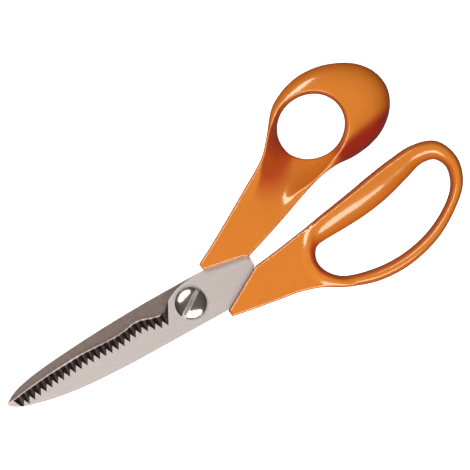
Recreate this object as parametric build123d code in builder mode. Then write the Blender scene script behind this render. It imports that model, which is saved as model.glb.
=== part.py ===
from build123d import *
import math
import os

# Serrated general-purpose shears: two pressed steel blades on a slotted pivot screw,
# each with a moulded plastic bow handle.
#
# Frame: +X runs from the pivot towards the handles, +Y towards the thumb bow, and +Z
# towards the screw head.  The origin is on the pivot axis, in the back face of the
# finger blade.  The blades are closed.  All sizes are in millimetres.

# ---- blades ----
BLADE_LENGTH = 85.0          # pivot axis to the tips
BLADE_THICKNESS = 2.3
BLADE_GAP = 0.05             # between the two inner faces
THUMB_SPINE = 9.8            # pivot axis to the spine of the thumb blade
FINGER_SPINE = 9.2           # pivot axis to the spine of the finger blade
HEEL_HEIGHT = 9.2            # pivot axis to the top of the rounded heel
NECK_END = 29.8              # where the bare neck of a blade ends
SPINE_END = 12.2             # where the straight spine turns into the slanted edge
SLANT_END_Y = 0.5            # how far the slanted edge climbs past the pivot line
NECK_CORNER_Y = 5.0          # where the square end of the neck meets the tang

# ---- serrations of the thumb blade ----
TOOTH_PITCH = 2.8
TOOTH_START = 12.2           # pivot axis to the first groove
TOOTH_END_MARGIN = 3.2       # tip of the blade to the last groove
GROOVE_REACH = 5.4           # length of a groove, measured back from the cutting edge
GROOVE_SLOPE = 19.0          # degrees that the bottom of a groove dips
GROOVE_HALF_ANGLE = 58.0     # degrees, half the angle between the walls of a groove
GROOVE_OVERRUN = 1.5         # how much longer than the groove its cutter is

# ---- outer bevel of the finger blade ----
BEVEL_WIDTH = 2.4
EDGE_LAND = 0.35             # thickness left at the cutting edge
WEDGE_OVERRUN = 1.0          # how far the bevel's cutter stands out of the blade

# ---- pivot ----
BARREL_DIAMETER = 6.0        # of the pivot post, which the thumb blade turns on
BARREL_FLATS = 5.2           # across the flats that key the post in the finger blade
FLANGE_DIAMETER = 9.5
FLANGE_THICKNESS = 0.8
THREAD_DIAMETER = 3.5
THREAD_FLOOR = 1.2           # from the back face to the bottom of the threaded bore
THREAD_END_GAP = 0.4         # between the end of the screw and the bottom of its bore
HEAD_DIAMETER = 13.0
HEAD_RIM = 0.7               # height of the straight rim of the screw head
HEAD_DOME = 1.9              # rise of the dome above the rim
DOME_REACH = 0.57            # share of the head's radius where the dome is measured
DOME_SHARE = 0.72            # share of the dome's rise that is left there
SLOT_WIDTH = 1.5
SLOT_DEPTH = 1.3
SLOT_ANGLE = 34.5            # degrees from +X
WASHER_DIAMETER = 10.6
WASHER_THICKNESS = 0.3
RUNNING_CLEARANCE = 0.05     # radial, and below the washer
STATIC_CLEARANCE = 0.02      # radial, between pieces that don't turn on each other

# ---- handles ----
SHANK_HALF_DEPTH = 4.7       # from the middle plane to the flat faces of a shank
SHANK_ROUND = 0.9            # along the front and back edges of a shank
CORNER_ROUND = 1.0           # at the corners of a shank's end walls
STOP_CLEARANCE = 0.12        # between a blade's slanted edge and the other handle
KEY_HOLE = 4.0               # holes in the tangs that the plastic fills

# ---- thumb bow ----
THUMB_BOW_X = 77.2
THUMB_BOW_Y = 39.0
THUMB_HOLE_X = 13.9          # half width of the clear opening
THUMB_HOLE_Y = 12.85         # half height of the clear opening
THUMB_WALL_CUT = 0.4         # how far the shank's opening reaches into the bow's wall
FRONT_RIM_Z = 5.2            # above the middle plane
BACK_RIM_Z = 5.6             # below the middle plane

# ---- finger bow ----
FINGER_BOW_START = 48.3      # outer end of the bow next to the shank
FINGER_BOW_END = 122.8       # pivot axis to the far end of the handle

# ---- levels that follow from the sizes above ----
FINGER_FRONT = BLADE_THICKNESS
THUMB_BACK = BLADE_THICKNESS + BLADE_GAP
THUMB_FRONT = THUMB_BACK + BLADE_THICKNESS
MIDDLE = BLADE_THICKNESS + BLADE_GAP / 2
HANDLE_FRONT = MIDDLE + SHANK_HALF_DEPTH
HANDLE_BACK = MIDDLE - SHANK_HALF_DEPTH
WASHER_BACK = THUMB_FRONT + RUNNING_CLEARANCE
POST_TOP = WASHER_BACK + WASHER_THICKNESS

# Outlines are drawn in "edge-side" coordinates: x along the blade, v towards the
# cutting edge.  The thumb blade cuts towards +Y and the finger blade towards -Y.
TOWARDS_THUMB = 1
TOWARDS_FINGER = -1


def facing(side, points):
    """Turns (x, v) points into sketch points for a blade that cuts towards side * Y."""
    return [(x, side * v) for x, v in points]


def cutting_edge():
    """The cutting edge from the notch at the heel to just short of the tip, as (x, v)."""
    length = BLADE_LENGTH
    return [
        (-12.0, 1.9),
        (-13.8, 1.8),
        (-17.0, 2.6),
        (-21.5, 4.0),
        (-24.5, 4.2),
        (-28.0, 3.5),
        (-34.0, 2.9),
        (-0.57 * length, 3.5),
        (-0.76 * length, 2.7),
        (-0.91 * length, 1.3),
        (-length, 0.0),
    ]


def edge_height(x):
    """Height v of the cutting edge at x."""
    points = cutting_edge()
    for near, far in zip(points, points[1:]):
        if far[0] <= x <= near[0]:
            share = (near[0] - x) / (near[0] - far[0])
            return near[1] + share * (far[1] - near[1])
    return 0.0


# Curve of each spine towards its tip: shares of the blade's length and of the distance
# from the pivot to the spine.
THUMB_SPINE_CURVE = [(1, 0), (0.965, 0.25), (0.88, 0.52), (0.76, 0.75), (0.59, 0.92), (0.35, 1)]
FINGER_SPINE_CURVE = [
    (1, 0),
    (0.94, 0.34),
    (0.88, 0.5),
    (0.76, 0.67),
    (0.59, 0.815),
    (0.35, 0.945),
    (0.1, 1),
]


def blade_outline(side, spine, curve, tang):
    """The closed outline of a blade: spine, slanted edge, tang, heel and cutting edge."""
    spine_curve = [(-along * BLADE_LENGTH, -across * spine) for along, across in curve]
    neck = [
        spine_curve[-1],
        (SPINE_END, -spine),
        (NECK_END, SLANT_END_Y),
        (NECK_END, NECK_CORNER_Y),
        *tang,
        (11.0, HEEL_HEIGHT),
    ]
    heel = [
        neck[-1],
        (4.0, 8.9),
        (-3.0, 7.5),
        (-8.0, 4.9),
        (-11.2, 1.6),
    ]
    with BuildLine() as outline:
        Spline(*facing(side, spine_curve))
        Polyline(*facing(side, neck))
        Spline(*facing(side, heel))
        Line(*facing(side, [heel[-1], cutting_edge()[0]]))
        Spline(*facing(side, cutting_edge()))
    return outline.edges()


# Tangs, from the neck round to the heel, in edge-side coordinates.
THUMB_TANG = [(31.5, 9.0), (43.0, 13.4), (45.0, 19.5), (40.5, 25.0), (13.5, 10.4)]
FINGER_TANG = [(30.5, 4.0), (44.0, 3.0), (46.5, 8.0), (44.0, 13.5), (13.5, 10.4)]
THUMB_KEY_HOLES = [(27.0, 12.0), (38.0, 18.0)]
FINGER_KEY_HOLES = [(27.5, 9.4), (39.0, 8.6)]


def thumb_blade_part():
    """The front blade: serrated on its outer face along the whole cutting edge."""
    outline = blade_outline(TOWARDS_THUMB, THUMB_SPINE, THUMB_SPINE_CURVE, THUMB_TANG)
    with BuildPart() as thumb_blade:
        with BuildSketch(Plane.XY.offset(THUMB_BACK)):
            make_face(outline)
            Circle(BARREL_DIAMETER / 2 + RUNNING_CLEARANCE, mode=Mode.SUBTRACT)
            with Locations(*facing(TOWARDS_THUMB, THUMB_KEY_HOLES)):
                Circle(KEY_HOLE / 2, mode=Mode.SUBTRACT)
        extrude(amount=BLADE_THICKNESS)

        # V grooves, each ground in at a slope so that it is deepest at the edge.
        slope = math.radians(GROOVE_SLOPE)
        rise = 2 * BLADE_THICKNESS
        spread = rise * math.tan(math.radians(GROOVE_HALF_ANGLE))
        toothed_length = BLADE_LENGTH - TOOTH_END_MARGIN - TOOTH_START
        for tooth in range(int(toothed_length / TOOTH_PITCH) + 1):
            x = -TOOTH_START - tooth * TOOTH_PITCH
            groove = Plane(
                origin=(x, edge_height(x) - GROOVE_REACH, THUMB_FRONT),
                x_dir=(1, 0, 0),
                z_dir=(0, math.cos(slope), -math.sin(slope)),
            )
            with BuildSketch(groove):
                with BuildLine():
                    Polyline((0, 0), (-spread, -rise), (spread, -rise), close=True)
                make_face()
            extrude(amount=GROOVE_REACH * GROOVE_OVERRUN, mode=Mode.SUBTRACT)
    thumb_blade.part.label = "thumb_blade"
    export_step(thumb_blade.part, "parts/thumb_blade.step")
    return thumb_blade.part


def finger_blade_part():
    """The back blade: plain, with one long bevel on its outer face."""
    outline = blade_outline(TOWARDS_FINGER, FINGER_SPINE, FINGER_SPINE_CURVE, FINGER_TANG)
    with BuildPart() as finger_blade:
        with BuildSketch():
            make_face(outline)
            with Locations(*facing(TOWARDS_FINGER, FINGER_KEY_HOLES)):
                Circle(KEY_HOLE / 2, mode=Mode.SUBTRACT)
        extrude(amount=BLADE_THICKNESS)

        # Outer bevel: a wedge that follows the cutting edge is taken off the back.
        depth = BLADE_THICKNESS - EDGE_LAND
        past_tip = (-BLADE_LENGTH - WEDGE_OVERRUN, -EDGE_LAND)
        for x, v in [*cutting_edge(), past_tip]:
            outside = (-v - BEVEL_WIDTH / 2, depth * 1.5)
            inside = (-v + BEVEL_WIDTH * (1 + WEDGE_OVERRUN / depth), -WEDGE_OVERRUN)
            with BuildSketch(Plane.YZ.offset(x)):
                with BuildLine():
                    Polyline(inside, outside, (outside[0], -WEDGE_OVERRUN), close=True)
                make_face()
        loft(mode=Mode.SUBTRACT)

        # Keyed hole for the pivot post and the recess for its flange.
        with BuildSketch():
            Circle(BARREL_DIAMETER / 2 + STATIC_CLEARANCE)
            Rectangle(
                BARREL_DIAMETER * 2,
                BARREL_FLATS + 2 * STATIC_CLEARANCE,
                mode=Mode.INTERSECT,
            )
        extrude(amount=BLADE_THICKNESS, mode=Mode.SUBTRACT)
        with BuildSketch():
            Circle(FLANGE_DIAMETER / 2 + STATIC_CLEARANCE)
        extrude(amount=FLANGE_THICKNESS, mode=Mode.SUBTRACT)
    finger_blade.part.label = "finger_blade"
    export_step(finger_blade.part, "parts/finger_blade.step")
    return finger_blade.part


def pivot_post_part():
    """A blind threaded post, keyed into the finger blade, that the thumb blade turns on."""
    with BuildPart() as pivot_post:
        with BuildSketch():
            Circle(FLANGE_DIAMETER / 2)
        extrude(amount=FLANGE_THICKNESS)
        with BuildSketch():
            Circle(BARREL_DIAMETER / 2)
            Rectangle(BARREL_DIAMETER * 2, BARREL_FLATS, mode=Mode.INTERSECT)
        extrude(amount=FINGER_FRONT)
        with BuildSketch(Plane.XY.offset(FINGER_FRONT)):
            Circle(BARREL_DIAMETER / 2)
        extrude(amount=POST_TOP - FINGER_FRONT)
        with BuildSketch(Plane.XY.offset(THREAD_FLOOR)):
            Circle(THREAD_DIAMETER / 2 + STATIC_CLEARANCE)
        extrude(amount=POST_TOP - THREAD_FLOOR, mode=Mode.SUBTRACT)
    pivot_post.part.label = "pivot_post"
    export_step(pivot_post.part, "parts/pivot_post.step")
    return pivot_post.part


def pivot_screw_part():
    """The adjusting screw: a low polished dome with one straight slot."""
    head_radius = HEAD_DIAMETER / 2
    rim_top = WASHER_BACK + HEAD_RIM
    thread_end = THREAD_FLOOR + THREAD_END_GAP
    washer_recess = WASHER_DIAMETER / 2 + 2 * STATIC_CLEARANCE
    with BuildPart() as pivot_screw:
        with BuildSketch(Plane.XZ):
            with BuildLine():
                Polyline(
                    (0, rim_top + HEAD_DOME),
                    (0, thread_end),
                    (THREAD_DIAMETER / 2, thread_end),
                    (THREAD_DIAMETER / 2, POST_TOP),
                    (washer_recess, POST_TOP),
                    (washer_recess, WASHER_BACK),
                    (head_radius, WASHER_BACK),
                    (head_radius, rim_top),
                )
                ThreePointArc(
                    (head_radius, rim_top),
                    (head_radius * DOME_REACH, rim_top + HEAD_DOME * DOME_SHARE),
                    (0, rim_top + HEAD_DOME),
                )
            make_face()
        revolve(axis=Axis.Z)
        with BuildSketch(Plane.XY.offset(rim_top + HEAD_DOME - SLOT_DEPTH)):
            Rectangle(2 * HEAD_DIAMETER, SLOT_WIDTH, rotation=SLOT_ANGLE)
        extrude(amount=SLOT_DEPTH * 2, mode=Mode.SUBTRACT)
    pivot_screw.part.label = "pivot_screw"
    export_step(pivot_screw.part, "parts/pivot_screw.step")
    return pivot_screw.part


def friction_washer_part():
    """A flat washer in the recess under the screw head, which rubs on the thumb blade."""
    with BuildPart() as friction_washer:
        with BuildSketch(Plane.XY.offset(WASHER_BACK)):
            Circle(WASHER_DIAMETER / 2)
            Circle(BARREL_DIAMETER / 2 + STATIC_CLEARANCE, mode=Mode.SUBTRACT)
        extrude(amount=WASHER_THICKNESS)
    friction_washer.part.label = "friction_washer"
    export_step(friction_washer.part, "parts/friction_washer.step")
    return friction_washer.part


def stop_line(side, spine):
    """The wall of a handle that stands clear of the other handle's slanted blade edge."""
    run = NECK_END - SPINE_END
    rise = spine + SLANT_END_Y
    shift = STOP_CLEARANCE / math.hypot(run, rise)
    corner = (SPINE_END + rise * shift, spine + run * shift)
    end = (NECK_END + rise * shift, -SLANT_END_Y + run * shift)
    return facing(side, [corner, end])


# Handle shanks, drawn in edge-side coordinates: v towards the handle's own bow.
THUMB_UPPER = [(10.5, 12.1), (29.8, 23.0), (41.7, 30.1), (49.8, 34.9), (54.7, 38.7), (60.1, 44.9)]
THUMB_LOWER = [(76.9, 20.3), (69.8, 19.0), (50.2, 12.2)]
THUMB_WALL = [(28.3, 5.1), (10.9, 9.2)]
FINGER_LOWER = [(12.0, 12.9), (30.0, 15.9), (41.1, 17.6), (50.1, 20.5), (57.5, 24.4)]
FINGER_UPPER = [(58.0, -4.6), (50.0, -3.3), (40.0, -1.7)]
FINGER_WALL = [(NECK_END, 5.4), (11.5, 9.8)]


def thumb_front_outline():
    """Shank of the thumb handle in front of its own blade."""
    with BuildLine() as outline:
        Spline(*THUMB_UPPER)
        Line(THUMB_UPPER[-1], THUMB_LOWER[0])
        Spline(*THUMB_LOWER, THUMB_WALL[0])
        Polyline(*THUMB_WALL, THUMB_UPPER[0])
    return outline.edges()


def thumb_back_outline():
    """Shank of the thumb handle behind its own blade, up to the finger blade's edge."""
    stop_corner, stop_end = stop_line(TOWARDS_THUMB, FINGER_SPINE)
    both_spines = THUMB_SPINE + FINGER_SPINE
    crossing_share = both_spines / (both_spines + 2 * SLANT_END_Y)
    inner_x = SPINE_END + (NECK_END - SPINE_END) * crossing_share - 4 * STOP_CLEARANCE
    share = (inner_x - stop_corner[0]) / (stop_end[0] - stop_corner[0])
    inner_y = stop_corner[1] + share * (stop_end[1] - stop_corner[1])
    neck_corner = (inner_x, NECK_CORNER_Y + STOP_CLEARANCE * 4)
    with BuildLine() as outline:
        Spline(*THUMB_UPPER)
        Line(THUMB_UPPER[-1], THUMB_LOWER[0])
        Spline(*THUMB_LOWER, neck_corner)
        Polyline(neck_corner, (inner_x, inner_y), stop_corner, THUMB_UPPER[0])
    return outline.edges()


def finger_front_outline():
    """Shank of the finger handle in front of its own blade, up to the thumb blade's edge."""
    stop_corner, stop_end = stop_line(TOWARDS_FINGER, THUMB_SPINE)
    lower = facing(TOWARDS_FINGER, FINGER_LOWER)
    upper = facing(TOWARDS_FINGER, FINGER_UPPER)
    with BuildLine() as outline:
        Spline(*lower)
        Line(lower[-1], upper[0])
        Spline(*upper, stop_end)
        Polyline(stop_end, stop_corner, lower[0])
    return outline.edges()


def finger_back_outline():
    """Shank of the finger handle behind its own blade."""
    lower = facing(TOWARDS_FINGER, FINGER_LOWER)
    upper = facing(TOWARDS_FINGER, FINGER_UPPER)
    wall = facing(TOWARDS_FINGER, FINGER_WALL)
    with BuildLine() as outline:
        Spline(*lower)
        Line(lower[-1], upper[0])
        Spline(*upper, (NECK_END, SLANT_END_Y))
        Polyline((NECK_END, SLANT_END_Y), *wall, lower[0])
    return outline.edges()


def shank_back_half(outline, front_level):
    """The part of a shank behind a level, rounded along its back face."""
    with BuildPart() as back_half:
        with BuildSketch(Plane.XY.offset(HANDLE_BACK)) as back_sketch:
            make_face(outline)
            fillet(back_sketch.vertices(), CORNER_ROUND)
        extrude(amount=front_level - HANDLE_BACK)
        fillet(back_half.faces().sort_by(Axis.Z)[0].edges(), SHANK_ROUND)
    return back_half.part


def thumb_hole_radius(angle):
    """Radius of the clear oval opening of the thumb bow in a direction, in radians."""
    across = THUMB_HOLE_Y * math.cos(angle)
    along = THUMB_HOLE_X * math.sin(angle)
    return THUMB_HOLE_X * THUMB_HOLE_Y / math.hypot(across, along)


# The thumb bow is an oblique tube.  Each row gives a direction in degrees, how far the
# centres of the front rim and of the back rim stand outside the clear opening, and
# half the wall thickness.
THUMB_BOW_SECTIONS = [
    (240, 7.3, 2.8, 2.0),
    (270, 2.9, 3.1, 2.3),
    (300, 2.5, 6.1, 2.6),
    (330, 3.0, 13.1, 3.0),
    (360, 3.1, 17.6, 3.1),
    (390, 3.1, 13.4, 3.0),
    (420, 3.1, 7.4, 2.8),
    (450, 2.7, 3.8, 2.6),
    (480, 2.1, 2.2, 2.1),
    (510, 2.0, 1.8, 1.8),
    (540, 6.0, 2.0, 2.0),
    (570, 11.8, 2.8, 2.0),
    (600, 7.3, 2.8, 2.0),
]


def thumb_bow_plane(angle, front, back):
    """Plane of a cross-section: X from the back rim to the front rim, and its length."""
    turn = math.radians(angle)
    inside = thumb_hole_radius(turn)
    radial = Vector(math.cos(turn), math.sin(turn), 0)
    tangent = Vector(-math.sin(turn), math.cos(turn), 0)
    centre = Vector(THUMB_BOW_X, THUMB_BOW_Y, MIDDLE)
    front_rim = centre + radial * (inside + front) + Vector(0, 0, FRONT_RIM_Z)
    back_rim = centre + radial * (inside + back) - Vector(0, 0, BACK_RIM_Z)
    across = front_rim - back_rim
    plane = Plane(origin=(front_rim + back_rim) / 2, x_dir=across, z_dir=tangent)
    return plane, across.length


def thumb_opening_points(height):
    """Outline of the oblique opening at a height above the middle plane."""
    share = (height + BACK_RIM_Z) / (FRONT_RIM_Z + BACK_RIM_Z)
    points = []
    for angle, front, back, wall in THUMB_BOW_SECTIONS[:-1]:
        turn = math.radians(angle)
        radius = thumb_hole_radius(turn) + back + share * (front - back) - wall
        reach = max(radius + THUMB_WALL_CUT, THUMB_HOLE_Y / 2)
        x = THUMB_BOW_X + reach * math.cos(turn)
        y = THUMB_BOW_Y + reach * math.sin(turn)
        points.append((x, y))
    return points


def thumb_handle_part(blade):
    """The thumb handle: a two-step shank and an oblique tubular bow."""
    front_outline = thumb_front_outline()
    back_half = shank_back_half(thumb_back_outline(), THUMB_BACK)
    with BuildPart() as thumb_handle:
        with BuildSketch(Plane.XY.offset(THUMB_BACK)) as front_sketch:
            make_face(front_outline)
            fillet(front_sketch.vertices(), CORNER_ROUND)
        extrude(amount=HANDLE_FRONT - THUMB_BACK)
        fillet(thumb_handle.faces().sort_by(Axis.Z)[-1].edges(), SHANK_ROUND)
        add(back_half)

        # The opening runs through the end of the shank.
        for height in (-2 * SHANK_HALF_DEPTH, 2 * SHANK_HALF_DEPTH):
            with BuildSketch(Plane.XY.offset(MIDDLE + height)):
                with BuildLine():
                    Spline(*thumb_opening_points(height), periodic=True)
                make_face()
        loft(mode=Mode.SUBTRACT)

        # The bow itself, in two runs that meet in the shank.
        for rows in (THUMB_BOW_SECTIONS[:-2], THUMB_BOW_SECTIONS[-3:]):
            for angle, front, back, wall in rows:
                plane, length = thumb_bow_plane(angle, front, back)
                with BuildSketch(plane):
                    SlotCenterToCenter(length, 2 * wall)
            loft()
        add(blade, mode=Mode.SUBTRACT)
    thumb_handle.part.label = "thumb_handle"
    export_step(thumb_handle.part, "parts/thumb_handle.step")
    return thumb_handle.part


# The finger bow.  Each row gives the inner and the outer point of a cross-section and
# its depth: x as a share of the length of the bow, y in millimetres.
FINGER_BOW_SECTIONS = [
    ((0.093, -4.9), (0.060, 0.4), 10.6),
    ((0.157, -4.0), (0.130, 4.7), 11.4),
    ((0.291, -3.7), (0.278, 6.7), 12.4),
    ((0.426, -3.0), (0.405, 8.4), 13.0),
    ((0.560, -1.3), (0.526, 10.2), 13.0),
    ((0.697, 1.6), (0.660, 11.8), 12.6),
    ((0.808, 4.1), (0.808, 12.7), 12.0),
    ((0.886, 3.1), (0.942, 9.4), 12.0),
    ((0.924, -1.5), (1.000, -0.8), 12.0),
    ((0.901, -8.6), (0.962, -10.6), 11.6),
    ((0.828, -14.5), (0.864, -18.0), 11.2),
    ((0.693, -20.4), (0.724, -24.7), 11.0),
    ((0.560, -23.4), (0.575, -28.5), 11.0),
    ((0.426, -24.4), (0.426, -29.9), 11.0),
    ((0.291, -23.5), (0.270, -28.6), 11.0),
    ((0.156, -20.6), (0.123, -24.4), 11.0),
    ((0.083, -15.9), (0.030, -18.5), 10.6),
    ((0.060, -10.0), (0.000, -10.0), 10.0),
    ((0.093, -4.9), (0.060, 0.4), 10.6),
]


def finger_bow_point(share, y):
    """A point of the finger bow in the middle plane."""
    return Vector(FINGER_BOW_START + share * (FINGER_BOW_END - FINGER_BOW_START), y, MIDDLE)


def finger_handle_part(blade):
    """The finger handle: a two-step shank and a long bow for three or four fingers."""
    front_outline = finger_front_outline()
    back_half = shank_back_half(finger_back_outline(), FINGER_FRONT)
    with BuildPart() as finger_handle:
        with BuildSketch(Plane.XY.offset(FINGER_FRONT)) as front_sketch:
            make_face(front_outline)
            fillet(front_sketch.vertices(), CORNER_ROUND)
        extrude(amount=HANDLE_FRONT - FINGER_FRONT)
        fillet(finger_handle.faces().sort_by(Axis.Z)[-1].edges(), SHANK_ROUND)
        add(back_half)

        # The opening runs through the end of the shank.
        inner = [finger_bow_point(*row[0]) for row in FINGER_BOW_SECTIONS[:-1]]
        with BuildSketch(Plane.XY.offset(HANDLE_BACK)):
            with BuildLine():
                Spline(*[(point.X, point.Y) for point in inner], periodic=True)
            make_face()
        extrude(amount=2 * SHANK_HALF_DEPTH, mode=Mode.SUBTRACT)

        # The bow, in two runs that meet in the shank.
        for rows in (FINGER_BOW_SECTIONS[:-3], FINGER_BOW_SECTIONS[-4:]):
            for inner_point, outer_point, depth in rows:
                inside = finger_bow_point(*inner_point)
                outside = finger_bow_point(*outer_point)
                across = outside - inside
                plane = Plane(
                    origin=(inside + outside) / 2,
                    x_dir=(0, 0, 1),
                    z_dir=across.cross(Vector(0, 0, 1)),
                )
                with BuildSketch(plane):
                    SlotCenterToCenter(depth - across.length, across.length)
            loft()
        add(blade, mode=Mode.SUBTRACT)
    finger_handle.part.label = "finger_handle"
    export_step(finger_handle.part, "parts/finger_handle.step")
    return finger_handle.part


os.makedirs("parts", exist_ok=True)

thumb_blade_piece = thumb_blade_part()
finger_blade_piece = finger_blade_part()
pivot_post_part()
pivot_screw_part()
friction_washer_part()
thumb_handle_part(thumb_blade_piece)
finger_handle_part(finger_blade_piece)
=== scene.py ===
"""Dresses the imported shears: moulded plastic handles, ground steel blades, a polished
pivot, and a plain studio around them.

The object's frame: +X from the pivot towards the handles, +Y towards the thumb bow and
+Z towards the screw head.  Shapes are worked out in millimetres about the pivot and
turned into metres when a mesh is made.
"""

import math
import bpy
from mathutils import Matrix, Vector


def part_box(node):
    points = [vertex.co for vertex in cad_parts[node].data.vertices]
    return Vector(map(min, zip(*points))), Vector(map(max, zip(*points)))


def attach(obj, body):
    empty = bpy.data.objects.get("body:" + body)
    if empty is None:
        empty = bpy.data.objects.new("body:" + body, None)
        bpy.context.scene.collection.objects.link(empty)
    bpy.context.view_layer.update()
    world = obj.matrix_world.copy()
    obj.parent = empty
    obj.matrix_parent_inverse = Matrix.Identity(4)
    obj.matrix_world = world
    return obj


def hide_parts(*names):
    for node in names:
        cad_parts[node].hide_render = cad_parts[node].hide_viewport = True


bl_info = {
    "name": "Serrated Shears",
    "version": (1, 0, 0),
    "blender": (4, 5, 0),
    "location": "3D View > Sidebar > Shears",
    "description": "Moulded handles, ground blades, polished pivot and studio for a pair of shears",
    "category": "Object",
}

import bpy
import numpy as np
from mathutils import Vector

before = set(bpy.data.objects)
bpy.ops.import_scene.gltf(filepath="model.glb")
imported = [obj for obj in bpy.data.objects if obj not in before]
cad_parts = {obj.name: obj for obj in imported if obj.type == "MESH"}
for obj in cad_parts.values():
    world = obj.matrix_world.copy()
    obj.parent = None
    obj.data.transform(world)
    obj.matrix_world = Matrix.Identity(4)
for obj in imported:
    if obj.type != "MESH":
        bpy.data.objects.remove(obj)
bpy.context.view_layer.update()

MM = 0.001

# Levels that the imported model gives, in millimetres.
FINGER_BLADE_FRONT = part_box("finger_blade")[1].z / MM
THUMB_BLADE_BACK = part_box("thumb_blade")[0].z / MM
THUMB_BLADE_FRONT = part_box("thumb_blade")[1].z / MM
MIDDLE = (FINGER_BLADE_FRONT + THUMB_BLADE_BACK) / 2
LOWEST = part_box("thumb_handle")[0].z / MM


# ---------------------------------------------------------------------------
# Settings
# ---------------------------------------------------------------------------


class ShearsHandleSettings(bpy.types.PropertyGroup):
    mesh_step: bpy.props.FloatProperty(
        name="Mesh step",
        description="Spacing of the grid that the handle surfaces are drawn from, in mm",
        default=0.45,
        min=0.2,
    )
    edge_radius: bpy.props.FloatProperty(
        name="Edge radius",
        description="Rounding along the front and back edges of the shanks, in mm",
        default=1.1,
    )
    colour: bpy.props.FloatVectorProperty(
        name="Plastic",
        description="Colour of the moulded plastic",
        subtype="COLOR",
        size=3,
        min=0.0,
        max=1.0,
        default=(0.69, 0.194, 0.020),
    )


class ShearsSteelSettings(bpy.types.PropertyGroup):
    blade_colour: bpy.props.FloatVectorProperty(
        name="Ground steel",
        description="Colour of the flat ground faces of the blades",
        subtype="COLOR",
        size=3,
        min=0.0,
        max=1.0,
        default=(0.69, 0.600, 0.655),
    )
    inner_colour: bpy.props.FloatVectorProperty(
        name="Inner face",
        description="Colour of the finely ground inner faces of the blades",
        subtype="COLOR",
        size=3,
        min=0.0,
        max=1.0,
        default=(0.50, 0.39, 0.385),
    )
    screw_colour: bpy.props.FloatVectorProperty(
        name="Screw",
        description="Colour of the polished screw and its post",
        subtype="COLOR",
        size=3,
        min=0.0,
        max=1.0,
        default=(0.62, 0.555, 0.56),
    )


class ShearsStageSettings(bpy.types.PropertyGroup):
    floor_size: bpy.props.FloatProperty(
        name="Floor size",
        description="Side of the floor",
        default=6.0,
        unit="LENGTH",
    )
    key_power: bpy.props.FloatProperty(
        name="Key light",
        description="Power of the softbox on the finger side, in watts",
        default=8.3,
    )
    fill_power: bpy.props.FloatProperty(
        name="Fill light",
        description="Power of the softbox on the thumb side, in watts",
        default=6.4,
    )
    lens: bpy.props.FloatProperty(
        name="Lens",
        description="Focal length of the camera, in mm",
        default=135.0,
    )


# ---------------------------------------------------------------------------
# Shader maths
# ---------------------------------------------------------------------------


class Wire:
    """The value of a socket.  Python operators on it add Math nodes."""

    def __init__(self, nodes, socket):
        self.nodes = nodes
        self.socket = socket

    def math(self, operation, first, second=0.0):
        return self.nodes.node("ShaderNodeMath", {"operation": operation}, {0: first, 1: second})

    def __add__(self, other):
        return self.math("ADD", self, other)

    def __radd__(self, other):
        return self.math("ADD", other, self)

    def __sub__(self, other):
        return self.math("SUBTRACT", self, other)

    def __rsub__(self, other):
        return self.math("SUBTRACT", other, self)

    def __mul__(self, other):
        return self.math("MULTIPLY", self, other)

    def __rmul__(self, other):
        return self.math("MULTIPLY", other, self)

    def __truediv__(self, other):
        return self.math("DIVIDE", self, other)

    def __rtruediv__(self, other):
        return self.math("DIVIDE", other, self)

    def __abs__(self):
        return self.math("ABSOLUTE", self)


class NodeTree:
    """A node tree under construction."""

    def __init__(self, tree):
        self.tree = tree

    def node(self, kind, settings=None, inputs=None, output=0):
        """Adds a node, its settings first and then its sockets, and returns one output."""
        made = self.tree.nodes.new(kind)
        for name, value in (settings or {}).items():
            if name == "stops":
                self.set_stops(made.color_ramp, value)
            elif name == "curve":
                self.set_curve(made.mapping, value)
            else:
                setattr(made, name, value)
        for key, value in (inputs or {}).items():
            self.feed(made.inputs[key], value)
        return Wire(self, made.outputs[output]) if made.outputs else None

    def feed(self, socket, value):
        """Links a wire to a socket, or sets the socket to a plain value."""
        if isinstance(value, Wire):
            self.tree.links.new(value.socket, socket)
        else:
            socket.default_value = value

    def set_stops(self, ramp, stops):
        while len(ramp.elements) < len(stops):
            ramp.elements.new(1.0)
        for element, (place, colour) in zip(ramp.elements, stops):
            element.position = place
            element.color = (*colour, 1.0)

    def set_curve(self, mapping, stops):
        points = mapping.curves[0].points
        while len(points) < len(stops):
            points.new(0.5, 0.5)
        for point, stop in zip(points, stops):
            point.location = stop
            point.handle_type = "VECTOR"
        mapping.update()

    def part(self, vector, axis):
        return self.node("ShaderNodeSeparateXYZ", inputs={0: vector}, output=axis)


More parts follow.
